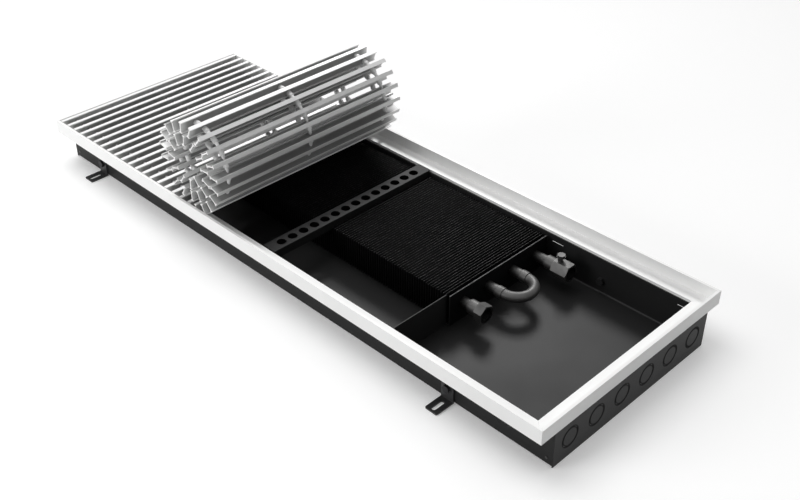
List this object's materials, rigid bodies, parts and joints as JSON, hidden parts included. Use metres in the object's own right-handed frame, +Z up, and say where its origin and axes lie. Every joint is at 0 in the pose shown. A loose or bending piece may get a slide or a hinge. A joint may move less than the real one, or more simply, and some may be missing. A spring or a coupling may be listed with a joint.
{
  "type": "trench convector heater",
  "caption": "Floor trench convector: shallow trough with mitred frame, finned water coil with threaded ends and a slatted grille partly rolled back.",
  "frame": {"origin": "middle of the rectangle around the heater at the trough's underside", "axes": "+X along the trough to the connection end, +Y to the side where the heat exchanger lies, +Z up"},
  "size_m": [1, 0.37, 0.2048],
  "materials": {
    "tray_paint": "satin",
    "frame_paint": "satin",
    "fin_paint": "matte",
    "plated": "satin",
    "black_steel": "satin",
    "strut_steel": "satin",
    "rivet": "satin",
    "slat_alu": "anodised, satin",
    "sleeve": "satin",
    "cord": "matte"
  },
  "bodies": {
    "heater": {"trough_tray": "tray_paint", "end_plate_left": "tray_paint", "end_plate_right": "tray_paint", "end_plate_rivets": "rivet", "frame_rail_front": "frame_paint", "frame_rail_back": "frame_paint", "frame_rail_left": "frame_paint", "frame_rail_right": "frame_paint", "cross_strut": "strut_steel", "exchanger_fins": "fin_paint", "exchanger_end_plates": "fin_paint", "exchanger_tubes": "plated", "return_bends": "plated", "supply_connector": "plated", "return_connector": "plated", "vent_body": "plated", "air_baffle": "tray_paint", "foot_bolts": "black_steel", "flat_slats": "slat_alu", "flat_sleeves": "sleeve", "flat_cords": "cord"},
    "vent_knob": {"vent_knob": "plated"},
    "foot_front_right": {"foot_front_right": "black_steel"},
    "foot_front_left": {"foot_front_left": "black_steel"},
    "foot_back_right": {"foot_back_right": "black_steel"},
    "foot_back_left": {"foot_back_left": "black_steel"},
    "roll_slat_1": {"roll_slat_1": "slat_alu"},
    "roll_slat_2": {"roll_slat_2": "slat_alu"},
    "roll_slat_3": {"roll_slat_3": "slat_alu"},
    "roll_slat_4": {"roll_slat_4": "slat_alu"},
    "roll_slat_5": {"roll_slat_5": "slat_alu"},
    "roll_slat_6": {"roll_slat_6": "slat_alu"},
    "roll_slat_7": {"roll_slat_7": "slat_alu"},
    "roll_slat_8": {"roll_slat_8": "slat_alu"},
    "roll_slat_9": {"roll_slat_9": "slat_alu"},
    "roll_slat_10": {"roll_slat_10": "slat_alu"},
    "roll_slat_11": {"roll_slat_11": "slat_alu"},
    "roll_slat_12": {"roll_slat_12": "slat_alu"},
    "roll_slat_13": {"roll_slat_13": "slat_alu"},
    "roll_slat_14": {"roll_slat_14": "slat_alu"},
    "roll_slat_15": {"roll_slat_15": "slat_alu"},
    "roll_slat_16": {"roll_slat_16": "slat_alu"},
    "roll_slat_17": {"roll_slat_17": "slat_alu"},
    "roll_slat_18": {"roll_slat_18": "slat_alu"},
    "roll_slat_19": {"roll_slat_19": "slat_alu"},
    "roll_slat_20": {"roll_slat_20": "slat_alu"},
    "roll_slat_21": {"roll_slat_21": "slat_alu"},
    "roll_slat_22": {"roll_slat_22": "slat_alu"},
    "roll_slat_23": {"roll_slat_23": "slat_alu"},
    "roll_slat_24": {"roll_slat_24": "slat_alu"},
    "roll_slat_25": {"roll_slat_25": "slat_alu"},
    "roll_slat_26": {"roll_slat_26": "slat_alu"},
    "roll_slat_27": {"roll_slat_27": "slat_alu"},
    "roll_slat_28": {"roll_slat_28": "slat_alu"},
    "roll_slat_29": {"roll_slat_29": "slat_alu"},
    "roll_slat_30": {"roll_slat_30": "slat_alu"},
    "roll_slat_31": {"roll_slat_31": "slat_alu"},
    "roll_slat_32": {"roll_slat_32": "slat_alu"},
    "roll_slat_33": {"roll_slat_33": "slat_alu"},
    "roll_slat_34": {"roll_slat_34": "slat_alu"}
  },
  "joints": [
    {"name": "vent_knob_turn", "type": "hinge", "parent": "heater", "child": "vent_knob", "pos_m": [0.288, 0.125, 0.0502], "axis": [0, 0, 1], "range_deg": [0, 360]},
    {"name": "foot_front_right_height", "type": "slide", "parent": "heater", "child": "foot_front_right", "axis": [0, 0, -1], "range_m": [0, 0.012]},
    {"name": "foot_front_left_height", "type": "slide", "parent": "heater", "child": "foot_front_left", "axis": [0, 0, -1], "range_m": [0, 0.012]},
    {"name": "foot_back_right_height", "type": "slide", "parent": "heater", "child": "foot_back_right", "axis": [0, 0, -1], "range_m": [0, 0.012]},
    {"name": "foot_back_left_height", "type": "slide", "parent": "heater", "child": "foot_back_left", "axis": [0, 0, -1], "range_m": [0, 0.012]},
    {"name": "roll_hinge_1", "type": "hinge", "parent": "heater", "child": "roll_slat_1", "pos_m": [-0.15024, 0, 0.0666], "axis": [0, 1, 0], "range_deg": [0, 12.6]},
    {"name": "roll_hinge_2", "type": "hinge", "parent": "roll_slat_1", "child": "roll_slat_2", "pos_m": [-0.13181, 0, 0.07072], "axis": [0, 1, 0], "range_deg": [0, 12.6]},
    {"name": "roll_hinge_3", "type": "hinge", "parent": "roll_slat_2", "child": "roll_slat_3", "pos_m": [-0.11473, 0, 0.07876], "axis": [0, 1, 0], "range_deg": [0, 12.6]},
    {"name": "roll_hinge_4", "type": "hinge", "parent": "roll_slat_3", "child": "roll_slat_4", "pos_m": [-0.09981, 0, 0.09033], "axis": [0, 1, 0], "range_deg": [0, 16.53]},
    {"name": "roll_hinge_5", "type": "hinge", "parent": "roll_slat_4", "child": "roll_slat_5", "pos_m": [-0.0888, 0, 0.10567], "axis": [0, 1, 0], "range_deg": [0, 16.76]},
    {"name": "roll_hinge_6", "type": "hinge", "parent": "roll_slat_5", "child": "roll_slat_6", "pos_m": [-0.08268, 0, 0.12353], "axis": [0, 1, 0], "range_deg": [0, 17]},
    {"name": "roll_hinge_7", "type": "hinge", "parent": "roll_slat_6", "child": "roll_slat_7", "pos_m": [-0.08205, 0, 0.1424], "axis": [0, 1, 0], "range_deg": [0, 17.24]},
    {"name": "roll_hinge_8", "type": "hinge", "parent": "roll_slat_7", "child": "roll_slat_8", "pos_m": [-0.08704, 0, 0.1606], "axis": [0, 1, 0], "range_deg": [0, 17.51]},
    {"name": "roll_hinge_9", "type": "hinge", "parent": "roll_slat_8", "child": "roll_slat_9", "pos_m": [-0.09727, 0, 0.17647], "axis": [0, 1, 0], "range_deg": [0, 17.78]},
    {"name": "roll_hinge_10", "type": "hinge", "parent": "roll_slat_9", "child": "roll_slat_10", "pos_m": [-0.11187, 0, 0.18845], "axis": [0, 1, 0], "range_deg": [0, 18.06]},
    {"name": "roll_hinge_11", "type": "hinge", "parent": "roll_slat_10", "child": "roll_slat_11", "pos_m": [-0.12945, 0, 0.19532], "axis": [0, 1, 0], "range_deg": [0, 18.36]},
    {"name": "roll_hinge_12", "type": "hinge", "parent": "roll_slat_11", "child": "roll_slat_12", "pos_m": [-0.14831, 0, 0.1963], "axis": [0, 1, 0], "range_deg": [0, 18.68]},
    {"name": "roll_hinge_13", "type": "hinge", "parent": "roll_slat_12", "child": "roll_slat_13", "pos_m": [-0.16648, 0, 0.19118], "axis": [0, 1, 0], "range_deg": [0, 19.01]},
    {"name": "roll_hinge_14", "type": "hinge", "parent": "roll_slat_13", "child": "roll_slat_14", "pos_m": [-0.182, 0, 0.18043], "axis": [0, 1, 0], "range_deg": [0, 9]},
    {"name": "roll_hinge_15", "type": "hinge", "parent": "roll_slat_14", "child": "roll_slat_15", "pos_m": [-0.19307, 0, 0.16513], "axis": [0, 1, 0], "range_deg": [0, 3.2]},
    {"name": "roll_hinge_16", "type": "hinge", "parent": "roll_slat_15", "child": "roll_slat_16", "pos_m": [-0.19833, 0, 0.147], "axis": [0, 1, 0], "range_deg": [0, 2.2]},
    {"name": "roll_hinge_17", "type": "hinge", "parent": "roll_slat_16", "child": "roll_slat_17", "pos_m": [-0.19703, 0, 0.12817], "axis": [0, 1, 0], "range_deg": [0, 2]},
    {"name": "roll_hinge_18", "type": "hinge", "parent": "roll_slat_17", "child": "roll_slat_18", "pos_m": [-0.18921, 0, 0.11099], "axis": [0, 1, 0], "range_deg": [0, 2]},
    {"name": "roll_hinge_19", "type": "hinge", "parent": "roll_slat_18", "child": "roll_slat_19", "pos_m": [-0.17575, 0, 0.09775], "axis": [0, 1, 0], "range_deg": [0, 1.8]},
    {"name": "roll_hinge_20", "type": "hinge", "parent": "roll_slat_19", "child": "roll_slat_20", "pos_m": [-0.15838, 0, 0.09035], "axis": [0, 1, 0], "range_deg": [0, 1.7]},
    {"name": "roll_hinge_21", "type": "hinge", "parent": "roll_slat_20", "child": "roll_slat_21", "pos_m": [-0.1395, 0, 0.08998], "axis": [0, 1, 0], "range_deg": [0, 1.6]},
    {"name": "roll_hinge_22", "type": "hinge", "parent": "roll_slat_21", "child": "roll_slat_22", "pos_m": [-0.12192, 0, 0.09687], "axis": [0, 1, 0], "range_deg": [0, 1.4]},
    {"name": "roll_hinge_23", "type": "hinge", "parent": "roll_slat_22", "child": "roll_slat_23", "pos_m": [-0.10846, 0, 0.11011], "axis": [0, 1, 0], "range_deg": [0, 1.6]},
    {"name": "roll_hinge_24", "type": "hinge", "parent": "roll_slat_23", "child": "roll_slat_24", "pos_m": [-0.10145, 0, 0.12764], "axis": [0, 1, 0], "range_deg": [0, 1.3]},
    {"name": "roll_hinge_25", "type": "hinge", "parent": "roll_slat_24", "child": "roll_slat_25", "pos_m": [-0.10232, 0, 0.1465], "axis": [0, 1, 0], "range_deg": [0, 1.4]},
    {"name": "roll_hinge_26", "type": "hinge", "parent": "roll_slat_25", "child": "roll_slat_26", "pos_m": [-0.11113, 0, 0.1632], "axis": [0, 1, 0], "range_deg": [0, 1.4]},
    {"name": "roll_hinge_27", "type": "hinge", "parent": "roll_slat_26", "child": "roll_slat_27", "pos_m": [-0.12637, 0, 0.17435], "axis": [0, 1, 0], "range_deg": [0, 1.4]},
    {"name": "roll_hinge_28", "type": "hinge", "parent": "roll_slat_27", "child": "roll_slat_28", "pos_m": [-0.145, 0, 0.1774], "axis": [0, 1, 0], "range_deg": [0, 1.8]},
    {"name": "roll_hinge_29", "type": "hinge", "parent": "roll_slat_28", "child": "roll_slat_29", "pos_m": [-0.16289, 0, 0.17137], "axis": [0, 1, 0], "range_deg": [0, 1.8]},
    {"name": "roll_hinge_30", "type": "hinge", "parent": "roll_slat_29", "child": "roll_slat_30", "pos_m": [-0.17561, 0, 0.15742], "axis": [0, 1, 0], "range_deg": [0, 2.2]},
    {"name": "roll_hinge_31", "type": "hinge", "parent": "roll_slat_30", "child": "roll_slat_31", "pos_m": [-0.17953, 0, 0.13895], "axis": [0, 1, 0], "range_deg": [0, 1.7]},
    {"name": "roll_hinge_32", "type": "hinge", "parent": "roll_slat_31", "child": "roll_slat_32", "pos_m": [-0.17314, 0, 0.12118], "axis": [0, 1, 0], "range_deg": [0, 1.3]},
    {"name": "roll_hinge_33", "type": "hinge", "parent": "roll_slat_32", "child": "roll_slat_33", "pos_m": [-0.15801, 0, 0.10989], "axis": [0, 1, 0], "range_deg": [0, 1.4]},
    {"name": "roll_hinge_34", "type": "hinge", "parent": "roll_slat_33", "child": "roll_slat_34", "pos_m": [-0.13914, 0, 0.10948], "axis": [0, 1, 0], "range_deg": [0, 2.4]}
  ]
}
